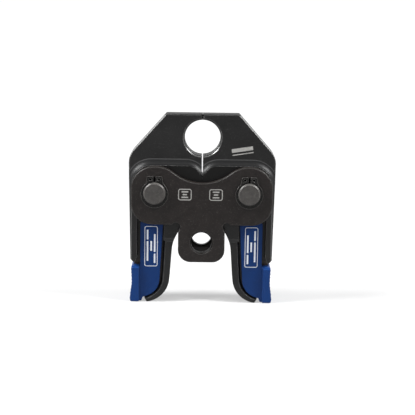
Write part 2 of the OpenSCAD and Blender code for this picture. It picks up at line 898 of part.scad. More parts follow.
module thumb_pad() {
    pad_in = grip_edge + pad_step;
    translate([pad_in, 0, 0])
        rotate([90, 0, 90])
            linear_extrude(pad_out + pad_flare + over - pad_in)
                polygon([
                    [-tail_drop - over, 0], [pad_top, 0], [pad_top, pad_face - pad_chamfer],
                    [pad_top - pad_chamfer, pad_face], [-tail_drop - over, pad_face]
                ]);
}

module thumb_ribs() {
    first = pad_top - rib_start;
    last = grip_end + rib_end;
    hollow = corner(grip_pts, pad_hollow_i);
    for (i = [0:rib_count - 1]) {
        y = first + (last - first) * i / (rib_count - 1);
        x = y > hollow[1].y ? line_x(hollow[1], corner(grip_pts, pad_top_i)[0], y)
            : y < hollow[0].y ? line_x(hollow[0], corner(grip_pts, pad_foot_i)[1], y)
            : hollow[2].x - sqrt(pow(hollow[5], 2) - pow(y - hollow[2].y, 2));
        translate([x + rib_h - rib_r, y, 0])
            cylinder(h = pad_face - rib_inset, r = rib_r, $fn = 32);
    }
}

module grip_shell(way) {
    difference() {
        grip_body();
        translate([0, 0, -over])
            cube_slice();
        linear_extrude(web_half + shell_clearance)
            outline(web_clear_pts);
        for (p = screw_places)
            translate(p)
                screw_hole(way);
    }
}

// Removes the split clearance between the two shells
module cube_slice() {
    translate([-pivot_x, -tail_drop - over, 0])
        cube([2 * pivot_x, tail_drop + over, over + shell_clearance / 2]);
}

web_clear_pts = [for (i = [0:len(web_pts) - 1]) moved_corner(web_pts, i, 3 * shell_clearance)];

module screw_hole(way) {
    r = screw_d / 2 + screw_clearance;
    if (way > 0) {
        cylinder(h = screw_tip + screw_clearance, r = r);
    } else {
        cylinder(h = grip_face + over, r = r);
        translate([0, 0, screw_seat])
            cylinder(h = grip_face, r = screw_head_d / 2 + 2 * screw_clearance);
    }
}

module grip(side, way) {
    color("#2f5fae")
        on_pivot(side)
            mirror([0, 0, way < 0 ? 1 : 0])
                grip_shell(way);
}

module left_grip_front() {
    grip(-1, 1);
}

module left_grip_rear() {
    grip(-1, -1);
}

module right_grip_front() {
    grip(1, 1);
}

module right_grip_rear() {
    grip(1, -1);
}

module grip_screw(side, i) {
    color("#55534f")
        on_pivot(side)
            translate([screw_places[i].x, screw_places[i].y, -screw_seat])
                difference() {
                    union() {
                        cylinder(h = screw_seat + screw_tip, d = screw_d);
                        translate([0, 0, -screw_head_h])
                            cylinder(h = screw_head_h, d = screw_head_d);
                    }
                    translate([0, 0, -screw_head_h - over])
                        cylinder(h = over + screw_head_h * 0.6, d = socket_af / cos(30), $fn = 6);
                }
}

module left_upper_grip_screw() {
    grip_screw(-1, 0);
}

module left_lower_grip_screw() {
    grip_screw(-1, 1);
}

module right_upper_grip_screw() {
    grip_screw(1, 0);
}

module right_lower_grip_screw() {
    grip_screw(1, 1);
}

left_jaw();
right_jaw();
front_side_plate();
rear_side_plate();
left_pivot_pin();
right_pivot_pin();
front_left_retaining_ring();
front_right_retaining_ring();
rear_left_retaining_ring();
rear_right_retaining_ring();
closing_spring();
left_grip_front();
left_grip_rear();
right_grip_front();
right_grip_rear();
left_upper_grip_screw();
left_lower_grip_screw();
right_upper_grip_screw();
right_lower_grip_screw();
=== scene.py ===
import math

import bmesh
import bpy
from mathutils import Matrix, Vector


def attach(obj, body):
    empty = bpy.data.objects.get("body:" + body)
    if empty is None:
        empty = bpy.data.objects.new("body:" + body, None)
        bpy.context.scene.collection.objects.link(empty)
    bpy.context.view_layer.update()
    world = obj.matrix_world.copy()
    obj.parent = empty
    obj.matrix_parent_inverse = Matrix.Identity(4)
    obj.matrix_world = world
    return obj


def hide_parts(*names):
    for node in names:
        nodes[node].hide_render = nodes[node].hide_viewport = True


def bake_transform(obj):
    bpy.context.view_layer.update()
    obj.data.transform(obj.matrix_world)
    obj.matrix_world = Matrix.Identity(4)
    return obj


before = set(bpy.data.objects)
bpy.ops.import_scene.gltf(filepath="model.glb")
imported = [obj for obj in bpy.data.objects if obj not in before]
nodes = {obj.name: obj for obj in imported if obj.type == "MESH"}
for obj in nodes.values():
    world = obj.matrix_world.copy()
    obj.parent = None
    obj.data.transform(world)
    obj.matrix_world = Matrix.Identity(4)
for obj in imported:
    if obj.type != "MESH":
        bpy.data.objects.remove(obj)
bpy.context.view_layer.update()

mm = 0.001
print("frame loaded:", len(nodes), "nodes")


# Small helpers

def linked(obj):
    bpy.context.scene.collection.objects.link(obj)
    return obj


def meshPiece(name, bm, material, smooth=False):
    mesh = bpy.data.meshes.new(name)
    bmesh.ops.recalc_face_normals(bm, faces=bm.faces)
    bm.to_mesh(mesh)
    bm.free()
    for face in mesh.polygons:
        face.use_smooth = smooth
    mesh.materials.append(material)
    return linked(bpy.data.objects.new(name, mesh))


# Give a CAD node its material
def dress(nodeName, material):
    obj = nodes[nodeName]
    obj.data.materials.clear()
    obj.data.materials.append(material)


# Shader helpers

# A number goes on the socket itself, anything else is linked to it
def feed(tree, socket, value):
    if isinstance(value, (int, float)):
        socket.default_value = value
    else:
        tree.links.new(value, socket)


def newGroup(name, inputs, outputs):
    group = bpy.data.node_groups.new(name, "ShaderNodeTree")
    for label, kind, value in inputs:
        socket = group.interface.new_socket(name=label, in_out="INPUT", socket_type=kind)
        if value is not None:
            socket.default_value = value
    for label, kind in outputs:
        group.interface.new_socket(name=label, in_out="OUTPUT", socket_type=kind)
    return group, group.nodes.new("NodeGroupInput"), group.nodes.new("NodeGroupOutput")


def groupNode(tree, group, vector, **values):
    node = tree.nodes.new("ShaderNodeGroup")
    node.node_tree = group
    tree.links.new(vector, node.inputs["Vector"])
    for label, value in values.items():
        node.inputs[label.replace("_", " ")].default_value = value
    return node


def mathNode(tree, operation, a, b=None, clamp=False):
    node = tree.nodes.new("ShaderNodeMath")
    node.operation = operation
    node.use_clamp = clamp
    feed(tree, node.inputs[0], a)
    if b is not None:
        feed(tree, node.inputs[1], b)
    return node.outputs[0]


def rangeNode(tree, value, fromMin, fromMax, toMin=0.0, toMax=1.0):
    node = tree.nodes.new("ShaderNodeMapRange")
    tree.links.new(value, node.inputs["Value"])
    for label, number in (("From Min", fromMin), ("From Max", fromMax), ("To Min", toMin), ("To Max", toMax)):
        feed(tree, node.inputs[label], number)
    return node.outputs["Result"]


def noiseNode(tree, vector, scale, detail=3.0, rough=0.5):
    node = tree.nodes.new("ShaderNodeTexNoise")
    node.inputs["Detail"].default_value = detail
    node.inputs["Roughness"].default_value = rough
    tree.links.new(vector, node.inputs["Vector"])
    feed(tree, node.inputs["Scale"], scale)
    return node.outputs["Fac"]


def stretched(tree, vector, scale):
    node = tree.nodes.new("ShaderNodeMapping")
    node.inputs["Scale"].default_value = scale
    tree.links.new(vector, node.inputs["Vector"])
    return node.outputs["Vector"]


def axesOf(tree, vector):
    node = tree.nodes.new("ShaderNodeSeparateXYZ")
    tree.links.new(vector, node.inputs["Vector"])
    return node.outputs


def mixColour(tree, amount, a, b):
    node = tree.nodes.new("ShaderNodeMix")
    node.data_type = "RGBA"
    tree.links.new(amount, node.inputs["Factor"])
    for label, value in (("A", a), ("B", b)):
        socket = [s for s in node.inputs if s.name == label and s.type == "RGBA"][0]
        if isinstance(value, tuple):
            socket.default_value = value + (1.0,)
        else:
            tree.links.new(value, socket)
    return [s for s in node.outputs if s.type == "RGBA"][0]


# Lines where faces meet, painted lighter partly as worn metal and partly as a painted highlight along the
# edges, and the shading normal of a slightly rounded edge

edgeWornAndHighlightSettings = dict(samples=6, noiseScale=900.0, noiseDetail=4.0, noiseRough=0.6, noiseMiddle=0.5, flatLimit=0.004)


def edgeWearAndHighlightGroup():
    group, inn, out = newGroup("edgeWearAndHighlight",
        [("Vector", "NodeSocketVector", None), ("Radius", "NodeSocketFloat", 0.0004),
         ("Round", "NodeSocketFloat", 0.0006), ("Sharpness", "NodeSocketFloat", 0.1),
         ("Breakup", "NodeSocketFloat", 0.5)],
        [("Mask", "NodeSocketFloat"), ("Normal", "NodeSocketVector")])
    bevels = []
    for label in ("Radius", "Round"):
        bevel = group.nodes.new("ShaderNodeBevel")
        bevel.samples = edgeWornAndHighlightSettings["samples"]
        group.links.new(inn.outputs[label], bevel.inputs["Radius"])
        bevels.append(bevel)
    geometry = group.nodes.new("ShaderNodeNewGeometry")
    dot = group.nodes.new("ShaderNodeVectorMath")
    dot.operation = "DOT_PRODUCT"
    group.links.new(bevels[0].outputs["Normal"], dot.inputs[0])
    group.links.new(geometry.outputs["Normal"], dot.inputs[1])
    turn = mathNode(group, "SUBTRACT", 1.0, dot.outputs["Value"], clamp=True)
    noise = noiseNode(group, inn.outputs["Vector"], edgeWornAndHighlightSettings["noiseScale"], edgeWornAndHighlightSettings["noiseDetail"],
                      edgeWornAndHighlightSettings["noiseRough"])
    broken = mathNode(group, "MULTIPLY", mathNode(group, "SUBTRACT", noise, edgeWornAndHighlightSettings["noiseMiddle"]),
                      inn.outputs["Breakup"])
    edge = mathNode(group, "ADD", rangeNode(group, turn, 0.0, inn.outputs["Sharpness"]), broken)
    turned = mathNode(group, "GREATER_THAN", turn, edgeWornAndHighlightSettings["flatLimit"])
    group.links.new(mathNode(group, "MULTIPLY", edge, turned, clamp=True), out.inputs["Mask"])
    group.links.new(bevels[1].outputs["Normal"], out.inputs["Normal"])
    return group


# Fine grain, slow clouds of tone and small light specks

grainPattern = dict(fineDetail=2.0, fineRough=0.7, cloudDetail=4.0, cloudRough=0.6, cloudRange=(0.3, 0.7),
                    speckShare=0.4, speckDetail=1.0, speckRange=(0.62, 0.72))


def surfaceGrainGroup():
    group, inn, out = newGroup("surfaceGrain",
        [("Vector", "NodeSocketVector", None), ("Fine Scale", "NodeSocketFloat", 4000.0),
         ("Cloud Scale", "NodeSocketFloat", 60.0)],
        [("Height", "NodeSocketFloat"), ("Cloud", "NodeSocketFloat"), ("Speckle", "NodeSocketFloat")])
    g = grainPattern
    place = inn.outputs["Vector"]
    speckScale = mathNode(group, "MULTIPLY", inn.outputs["Fine Scale"], g["speckShare"])
    fine = noiseNode(group, place, inn.outputs["Fine Scale"], g["fineDetail"], g["fineRough"])
    cloud = noiseNode(group, place, inn.outputs["Cloud Scale"], g["cloudDetail"], g["cloudRough"])
    speck = noiseNode(group, place, speckScale, g["speckDetail"])
    group.links.new(fine, out.inputs["Height"])
    group.links.new(rangeNode(group, cloud, *g["cloudRange"]), out.inputs["Cloud"])
    group.links.new(rangeNode(group, speck, *g["speckRange"]), out.inputs["Speckle"])
    return group


# Fine lines left by machining, and handling scratches

linePattern = dict(stretch=(60.0, 60.0, 5200.0), pitch=1.0, detail=2.0)
scratchPattern = dict(stretch=(90.0, 90.0, 2400.0), scale=1.0, detail=3.0, rough=0.65, range=(0.66, 0.74))


def toolMarksGroup():
    group, inn, out = newGroup("toolMarks",
        [("Vector", "NodeSocketVector", None), ("Pitch", "NodeSocketFloat", 0.4)],
        [("Height", "NodeSocketFloat"), ("Scratch", "NodeSocketFloat")])
    place = inn.outputs["Vector"]
    s = scratchPattern
    lines = noiseNode(group, stretched(group, place, linePattern["stretch"]), inn.outputs["Pitch"],
                      linePattern["detail"])
    scratch = noiseNode(group, stretched(group, place, s["stretch"]), s["scale"], s["detail"], s["rough"])
    group.links.new(lines, out.inputs["Height"])
    group.links.new(rangeNode(group, scratch, *s["range"]), out.inputs["Scratch"])
    return group


# Surfaces of a piece by their place: a range of depth from the middle plane, of height and of distance from
# the seam, and how far they face forwards or backwards
def zoneMaskGroup():
    group, inn, out = newGroup("zoneMask",
        [("Vector", "NodeSocketVector", None), ("Depth From", "NodeSocketFloat", 0.0),
         ("Depth To", "NodeSocketFloat", 1.0), ("Bottom", "NodeSocketFloat", -1.0),
         ("Top", "NodeSocketFloat", 1.0), ("Side From", "NodeSocketFloat", -1.0),
         ("Side To", "NodeSocketFloat", 1.0), ("Facing", "NodeSocketFloat", 0.1)],
        [("Mask", "NodeSocketFloat"), ("Height", "NodeSocketFloat")])
    place = axesOf(group, inn.outputs["Vector"])
    geometry = group.nodes.new("ShaderNodeNewGeometry")
    facing = axesOf(group, geometry.outputs["True Normal"])
    depth = mathNode(group, "ABSOLUTE", place["Y"])
    aside = mathNode(group, "ABSOLUTE", place["X"])
    tests = ((depth, "GREATER_THAN", "Depth From"), (depth, "LESS_THAN", "Depth To"),
             (place["Z"], "GREATER_THAN", "Bottom"), (place["Z"], "LESS_THAN", "Top"),
             (aside, "GREATER_THAN", "Side From"), (aside, "LESS_THAN", "Side To"),
             (mathNode(group, "ABSOLUTE", facing["Y"]), "GREATER_THAN", "Facing"))
    passed = [mathNode(group, test, value, inn.outputs[limit]) for value, test, limit in tests]
    mask = passed[0]
    for other in passed[1:]:
        mask = mathNode(group, "MULTIPLY", mask, other)
    group.links.new(mask, out.inputs["Mask"])
    group.links.new(place["Z"], out.inputs["Height"])
    return group


edgeWearAndHighlight = edgeWearAndHighlightGroup()
surfaceGrain = surfaceGrainGroup()
toolMarks = toolMarksGroup()
zoneMask = zoneMaskGroup()
print("shader groups built")


# Finishes

# Limits of place in millimetres; a range that starts a little below zero takes in the middle itself
noLimit = 1000.0
fromMiddle = -1.0
anywhere = (-noLimit, noLimit)
anyFacing = -1.0
bumpDistance = 0.1 * mm


def zoneNode(tree, coords, zone):
    depth, height, side = [[edge * mm for edge in zone.get(label, anywhere)]
                           for label in ("depth", "height", "side")]
    return groupNode(tree, zoneMask, coords, Depth_From=depth[0], Depth_To=depth[1], Bottom=height[0],
                     Top=height[1], Side_From=side[0], Side_To=side[1], Facing=zone.get("facing", anyFacing))


# Deep faces between leg and arm: painted shade above, bare brownish steel at the foot
def paintRecessShade(tree, coords, colour, recess):
    zone = zoneNode(tree, coords, recess)
    top = recess["footTop"] * mm
    foot = rangeNode(tree, zone.outputs["Height"], top + recess["footFade"] * mm, top)
    shadeAndFootColour = mixColour(tree, foot, recess["dark"], recess["foot"])
    return mixColour(tree, zone.outputs["Mask"], colour, shadeAndFootColour)


# One material: a clouded base colour with grain, tool marks, edges painted lighter as worn metal and as
# painted highlight, and surfaces that differ by place, some of them painted light or painted shade
def finish(name, look):
    material = bpy.data.materials.new(name)
    material.use_nodes = True
    tree = material.node_tree
    shader = tree.nodes["Principled BSDF"]
    coords = tree.nodes.new("ShaderNodeTexCoord").outputs["Object"]
    grain = groupNode(tree, surfaceGrain, coords, Fine_Scale=look["grainScale"],
                      Cloud_Scale=look["cloudScale"])
    marks = groupNode(tree, toolMarks, coords, Pitch=linePattern["pitch"])
    edges = groupNode(tree, edgeWearAndHighlight, coords, Radius=look["edgeRadius"] * mm, Round=look["roundRadius"] * mm,
                      Sharpness=look["edgeSharpness"], Breakup=look["edgeBreakup"])
    colour = mixColour(tree, grain.outputs["Cloud"], look["dark"], look["light"])
    colour = mixColour(tree, mathNode(tree, "MULTIPLY", grain.outputs["Speckle"], look["speckle"]),
                       colour, look["speckColour"])
    colour = mixColour(tree, mathNode(tree, "MULTIPLY", marks.outputs["Scratch"], look["scratch"]),
                       colour, look["wearAndHighlightColour"])
    # Edges painted lighter: partly worn metal, partly a painted highlight
    colour = mixColour(tree, mathNode(tree, "MULTIPLY", edges.outputs["Mask"], look["edgeAmount"]),
                       colour, look["wearAndHighlightColour"])
    rough = rangeNode(tree, grain.outputs["Cloud"], 0.0, 1.0, *look["rough"])
    gloss = look["specular"]
    # Painted shade on the deep recess faces, with bare brownish steel at the foot
    if "recess" in look:
        colour = paintRecessShade(tree, coords, colour, look["recess"])
    for zone in look.get("zones", ()):
        mask = zoneNode(tree, coords, zone).outputs["Mask"]
        colour = mixColour(tree, mask, colour, zone["colour"])
        rough = rangeNode(tree, mask, 0.0, 1.0, rough, zone["rough"])
        if "specular" in zone:
            gloss = rangeNode(tree, mask, 0.0, 1.0, gloss, zone["specular"])
    tree.links.new(colour, shader.inputs["Base Color"])
    tree.links.new(rough, shader.inputs["Roughness"])
    feed(tree, shader.inputs["Specular IOR Level"], gloss)
    shader.inputs["Metallic"].default_value = look["metallic"]
    bump = tree.nodes.new("ShaderNodeBump")
    bump.inputs["Strength"].default_value = look["bump"]
    bump.inputs["Distance"].default_value = bumpDistance
    height = mathNode(tree, "ADD", grain.outputs["Height"],
                      mathNode(tree, "MULTIPLY", marks.outputs["Height"], look["markBump"]))
    tree.links.new(height, bump.inputs["Height"])
    tree.links.new(edges.outputs["Normal"], bump.inputs["Normal"])
    tree.links.new(bump.outputs["Normal"], shader.inputs["Normal"])
    return material


# Places are in millimetres: depth from the middle plane, height above the tool pin, distance from the seam

# Painted shade on the deep faces between leg and arm, and bare brownish steel at the foot
recessShadeAndFoot = dict(depth=(fromMiddle, 3.1), height=(-noLimit, 19.0), facing=0.7, footTop=-15.2, footFade=1.0,
    dark=(0.0015, 0.0014, 0.0014), foot=(0.030, 0.021, 0.016))
# Painted highlight line along the top edge of the band
bandTopHighlight = dict(depth=(7.51, 7.62), height=(36.0, noLimit), facing=0.12, colour=(0.035, 0.035, 0.0355),
    rough=0.34)
bandHollow = dict(depth=(7.62, 10.895), height=(36.0, noLimit), facing=0.02, colour=(0.005, 0.005, 0.0052),
    rough=0.42, specular=0.2)
# Painted shade on the hub face between the side plate's lobes, where the plate shades it
hubShadeBetweenLobes = dict(depth=(10.85, 11.2), height=(28.0, 52.0), side=(fromMiddle, 34.0), facing=0.7,
    colour=(0.0042, 0.0040, 0.0039), rough=0.36, specular=0.14)
# Painted highlight on the bevels and painted light on the faces of the head's sloped sides
slopeBevelHighlight = dict(depth=(6.8, 7.45), height=(57.5, 86.6), side=(22.5, noLimit), facing=0.3,
    colour=(0.10, 0.10, 0.099), rough=0.40)
slopeFacePaintedLight = dict(depth=(fromMiddle, 6.8), height=(57.5, 86.6), side=(22.5, noLimit),
    colour=(0.032, 0.032, 0.0315), rough=0.42)
headTop = dict(depth=(fromMiddle, 7.45), height=(86.6, noLimit), colour=(0.012, 0.012, 0.012), rough=0.50,
    specular=0.12)
# Bands in the head's bore: a painted highlight on the front edge, painted shade behind it, and painted light
# on the ridges further in
inBore = dict(height=(57.8, 86.2), side=(1.0, 13.5))
boreEdgeHighlight = dict(inBore, depth=(6.9, 7.4), colour=(0.055, 0.055, 0.054), rough=0.26, specular=0.5)
boreLeadInShade = dict(inBore, depth=(6.0, 6.9), colour=(0.003, 0.003, 0.003), rough=0.45, specular=0.12)
boreFirstRidgeHighlight = dict(inBore, depth=(4.0, 6.0), colour=(0.035, 0.035, 0.034), rough=0.34, specular=0.25)
boreMiddlePaintedLight = dict(inBore, depth=(fromMiddle, 4.0), colour=(0.045, 0.045, 0.044), rough=0.30)
# Painted highlight line on the plate's edge bevel
plateBevelHighlight = dict(depth=(16.0, 16.97), facing=0.3, colour=(0.018, 0.0165, 0.0155), rough=0.40, specular=0.12)
# Painted shade on the wall of the tool pin bore in the plates
pinBoreWallShade = dict(depth=(10.8, 16.93), height=(-8.5, 8.5), side=(fromMiddle, 8.5),
    colour=(0.006, 0.0055, 0.005), rough=0.50, specular=0.10)
# Painted shadow on the plate face under the retaining ring's lugs
shadowUnderRingLugs = dict(depth=(16.93, 17.1), height=(42.0, 45.2), side=(27.7, 36.9), facing=0.7,
    colour=(0.0006, 0.0006, 0.0006), rough=0.50, specular=0.03)

jawLook = dict(dark=(0.0042, 0.0041, 0.0042), light=(0.0088, 0.0086, 0.0087), speckColour=(0.04, 0.04, 0.04),
    wearAndHighlightColour=(0.22, 0.22, 0.215), grainScale=2600.0, cloudScale=45.0, speckle=0.25, scratch=0.10,
    edgeRadius=0.4, roundRadius=0.4, edgeSharpness=0.06, edgeBreakup=0.5, edgeAmount=0.50,
    rough=(0.27, 0.33), bump=0.35, markBump=0.3, metallic=0.0, specular=0.25, recess=recessShadeAndFoot,
    zones=(bandTopHighlight, bandHollow, hubShadeBetweenLobes, slopeBevelHighlight, slopeFacePaintedLight, headTop, boreEdgeHighlight, boreLeadInShade,
           boreFirstRidgeHighlight, boreMiddlePaintedLight))
plateLook = dict(dark=(0.0068, 0.0050, 0.0046), light=(0.0118, 0.0092, 0.0085),
    speckColour=(0.045, 0.041, 0.037), wearAndHighlightColour=(0.20, 0.195, 0.185), grainScale=3600.0, cloudScale=190.0,
    speckle=0.5, scratch=0.06, edgeRadius=0.2, roundRadius=0.2, edgeSharpness=0.06, edgeBreakup=0.3,
    edgeAmount=0.55, rough=(0.29, 0.35), bump=0.8, markBump=0.15, metallic=0.0, specular=0.21,
    zones=(plateBevelHighlight, pinBoreWallShade, shadowUnderRingLugs))
pinLook = dict(dark=(0.034, 0.032, 0.0305), light=(0.056, 0.052, 0.049), speckColour=(0.09, 0.09, 0.08),
    wearAndHighlightColour=(0.26, 0.25, 0.235), grainScale=3000.0, cloudScale=420.0, speckle=0.5, scratch=0.15,
    edgeRadius=0.3, roundRadius=0.3, edgeSharpness=0.06, edgeBreakup=0.3, edgeAmount=0.5,
    rough=(0.36, 0.44), bump=0.5, markBump=0.4, metallic=0.15, specular=0.3)
# The ring's strong light edge lines are partly worn metal and partly a painted highlight on the lug outlines
ringLook = dict(pinLook, dark=(0.0022, 0.0021, 0.0020), light=(0.0045, 0.0043, 0.0041),
    wearAndHighlightColour=(0.11, 0.105, 0.10), edgeRadius=0.5, roundRadius=0.3, edgeSharpness=0.03, edgeBreakup=0.15,
    edgeAmount=0.8, rough=(0.30, 0.36), metallic=0.0, specular=0.18)
springLook = dict(pinLook, dark=(0.30, 0.29, 0.28), light=(0.40, 0.39, 0.37), wearAndHighlightColour=(0.5, 0.49, 0.47),
    rough=(0.25, 0.35), metallic=0.9, specular=0.5)
screwLook = dict(pinLook, dark=(0.02, 0.02, 0.02), light=(0.035, 0.035, 0.033), metallic=0.3)
gripLook = dict(dark=(0.0026, 0.0265, 0.120), light=(0.0042, 0.0330, 0.146), speckColour=(0.02, 0.06, 0.22),
    wearAndHighlightColour=(0.03, 0.09, 0.30), grainScale=3000.0, cloudScale=30.0, speckle=0.2, scratch=0.12,
    edgeRadius=0.5, roundRadius=0.6, edgeSharpness=0.15, edgeBreakup=0.3, edgeAmount=0.35,
    rough=(0.36, 0.44), bump=0.3, markBump=0.0, metallic=0.0, specular=0.16)
printLook = dict(dark=(0.74, 0.78, 0.84), light=(0.84, 0.87, 0.91), speckColour=(0.55, 0.60, 0.70),
    wearAndHighlightColour=(0.80, 0.80, 0.80), grainScale=6000.0, cloudScale=200.0, speckle=0.5, scratch=0.0,
    edgeRadius=0.1, roundRadius=0.1, edgeSharpness=0.2, edgeBreakup=0.0, edgeAmount=0.0,
    rough=(0.5, 0.6), bump=0.1, markBump=0.0, metallic=0.0, specular=0.3)
markLook = dict(printLook, dark=(0.24, 0.235, 0.225), light=(0.34, 0.335, 0.32),
    speckColour=(0.13, 0.13, 0.125))

jawSteel = finish("black oxide steel", jawLook)
plateSteel = finish("fine black plate", plateLook)
pinSteel = finish("ground pin steel", pinLook)
ringSteel = finish("phosphated ring steel", ringLook)
springSteel = finish("spring wire", springLook)
screwSteel = finish("blackened screw", screwLook)
gripPlastic = finish("blue grip plastic", gripLook)
whitePrint = finish("white pad print", printLook)
laserMark = finish("laser marking", markLook)

for side in ("left", "right"):
    dress(f"{side}_jaw", jawSteel)
    dress(f"{side}_pivot_pin", pinSteel)
    for end in ("front", "rear"):
        dress(f"{side}_grip_{end}", gripPlastic)
        dress(f"{end}_{side}_retaining_ring", ringSteel)
    for place in ("upper", "lower"):
        dress(f"{side}_{place}_grip_screw", screwSteel)
for end in ("front", "rear"):
    dress(f"{end}_side_plate", plateSteel)
print("CAD nodes dressed")


# Closing spring: two half coils that meet in the middle

spring = dict(axisHeight=22.8 * mm, halfLength=13.2 * mm, coilRadius=3.4 * mm, wireRadius=0.6 * mm,
              turns=9.5, closedPitch=1.26 * mm, stepsPerTurn=40, wireSides=10, lookAhead=0.005)


def coilPlace(turn):
    s = spring
    free = 2 * s["halfLength"] - 2 * s["wireRadius"] - 2 * s["closedPitch"]
    if turn < 1:
        travel = turn * s["closedPitch"]
    elif turn > s["turns"] - 1:
        travel = s["closedPitch"] + free + (turn - s["turns"] + 1) * s["closedPitch"]
    else:
        travel = s["closedPitch"] + free * (turn - 1) / (s["turns"] - 2)
    x = travel - s["halfLength"] + s["wireRadius"]
    angle = 2 * math.pi * turn
    r = s["coilRadius"]
    return Vector((x, r * math.cos(angle), s["axisHeight"] + r * math.sin(angle)))


def wireRing(bm, turn):
    s = spring
    place = coilPlace(turn)
    along = (coilPlace(turn + s["lookAhead"]) - coilPlace(turn - s["lookAhead"])).normalized()
    outward = Vector((0, place.y, place.z - s["axisHeight"])).normalized()
    across = along.cross(outward).normalized()
    ring = []
    for k in range(s["wireSides"]):
        a = 2 * math.pi * k / s["wireSides"]
        ring.append(bm.verts.new(place + (outward * math.cos(a) + across * math.sin(a)) * s["wireRadius"]))
    return ring


# Quads between two loops of as many points
def joinLoops(bm, low, high):
    for k in range(len(low)):
        n = (k + 1) % len(low)
        bm.faces.new((low[k], low[n], high[n], high[k]))


def halfSpring(name, fromTurn, toTurn):
    count = round((toTurn - fromTurn) * spring["stepsPerTurn"])
    bm = bmesh.new()
    rings = [wireRing(bm, fromTurn + (toTurn - fromTurn) * i / count) for i in range(count + 1)]
    for low, high in zip(rings, rings[1:]):
        joinLoops(bm, low, high)
    bm.faces.new(rings[0][::-1])
    bm.faces.new(rings[-1])
    return meshPiece(name, bm, springSteel, smooth=True)


middleTurn = spring["turns"] / 2
for side, sign, first, last in (("left", -1, 0, middleTurn), ("right", 1, middleTurn, spring["turns"])):
    coil = halfSpring(f"closing_spring_{side}_half", first, last)
    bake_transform(coil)
    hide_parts("closing_spring")
print("closing spring wound")


# Marks stand a little proud of the front faces, as plain shapes without words; their sizes are in millimetres

frontFace = dict(grip=-8.0, plate=-17.0, head=-7.5)
markStand = dict(proud=0.03, sunk=0.02)
cornerSteps = dict(frame=6, bar=3)


# Points of a rounded rectangle in the X-Z plane
def roundedLoop(x, z, width, height, radius, turn=0.0, steps=cornerSteps["bar"]):
    points = []
    for quarter, (sx, sz) in enumerate(((1, 1), (-1, 1), (-1, -1), (1, -1))):
        for k in range(steps + 1):
            a = math.pi / 2 * (quarter + k / steps)
            points.append((sx * (width / 2 - radius) + radius * math.cos(a),
                           sz * (height / 2 - radius) + radius * math.sin(a)))
    c = math.cos(math.radians(turn))
    s = math.sin(math.radians(turn))
    return [(x + c * u - s * v, z + s * u + c * v) for u, v in points]


# A loop's back and front rings of vertices at a front face
def raiseLoop(bm, face, loop):
    return [[bm.verts.new((u * mm, y * mm, v * mm)) for u, v in loop]
            for y in (face + markStand["sunk"], face - markStand["proud"])]


def addBar(bm, face, *loop, **options):
    back, front = raiseLoop(bm, face, roundedLoop(*loop, **options))
    joinLoops(bm, back, front)
    bm.faces.new(back)
    bm.faces.new(front)


def addFrame(bm, face, x, z, width, height, radius, line):
    steps = cornerSteps["frame"]
    outer = raiseLoop(bm, face, roundedLoop(x, z, width, height, radius, steps=steps))
    inner = raiseLoop(bm, face, roundedLoop(x, z, width - 2 * line, height - 2 * line, radius - line,
                                            steps=steps))
    joinLoops(bm, *outer)
    joinLoops(bm, *inner)
    for outerRing, innerRing in zip(outer, inner):
        joinLoops(bm, outerRing, innerRing)


def placeMark(name, bm, material, body):
    piece = meshPiece(name, bm, material)
    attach(piece, body)


# A thin sheet of the jaw's steel on the left half's contact faces stands in for the shade in the seam and
# closes the view through it; each face has its low and high end and its half depth

seamShadeSheet = dict(start=-0.05, thick=0.08, faces=((33.2, 45.3, 10.6), (84.2, 86.2, 7.2)))


def addSeamShadeSheet():
    bm = bmesh.new()
    f = seamShadeSheet
    for low, high, depth in f["faces"]:
        outline = ((-depth, low), (depth, low), (depth, high), (-depth, high))
        inner, outer = [[bm.verts.new((x * mm, y * mm, z * mm)) for y, z in outline]
                        for x in (f["start"], f["start"] + f["thick"])]
        joinLoops(bm, inner, outer)
        bm.faces.new(inner)
        bm.faces.new(outer)
    placeMark("seam_shade_sheet", bm, jawSteel, "left_jaw")


# Printed frame on each grip, with bars in three columns: a column's offset, then the ends of its bars

printFrame = dict(middleX=34.75, middleZ=-4.6, width=9.1, height=28.3, radius=1.4, line=0.44)
printBars = dict(width=1.15, radius=0.25, columns=(
    (-2.45, ((-10.4, 3.6), (4.7, 11.6))),
    (0.1, ((-3.2, 3.6),)),
    (2.5, ((-11.8, -5.2), (-4.0, 8.6)))))


def gripPrint(side, sign):
    bm = bmesh.new()
    f = printFrame
    face = frontFace["grip"]
    x = sign * f["middleX"]
    addFrame(bm, face, x, f["middleZ"], f["width"], f["height"], f["radius"], f["line"])
    for offset, bars in printBars["columns"]:
        for low, high in bars:
            addBar(bm, face, x - sign * offset, f["middleZ"] + (low + high) / 2, printBars["width"],
                   high - low, printBars["radius"])
    placeMark(f"{side}_grip_print", bm, whitePrint, f"{side}_jaw")


# Two framed signs on the front plate, each with three bars: their offset and width

plateSigns = dict(middles=(-11.6, 9.6), height=33.3, width=9.2, tall=7.912, radius=1.6, line=0.6,
                  bars=((-1.9, 4.6), (0.0, 3.0), (1.9, 4.6)), barWidth=0.9, barRadius=0.25)


def plateSign(name, x):
    bm = bmesh.new()
    p = plateSigns
    face = frontFace["plate"]
    addFrame(bm, face, x, p["height"], p["width"], p["tall"], p["radius"], p["line"])
    for offset, width in p["bars"]:
        addBar(bm, face, x, p["height"] + offset, width, p["barWidth"], p["barRadius"])
    placeMark(name, bm, laserMark, "plates")


# Two slanted bars on the right head: their offset, width and height

headMark = dict(middleX=27.4, middleZ=62.9, turn=9.0, bars=((0.6, 14.6, 2.6), (-2.4, 14.6, 0.7)), radius=0.3)


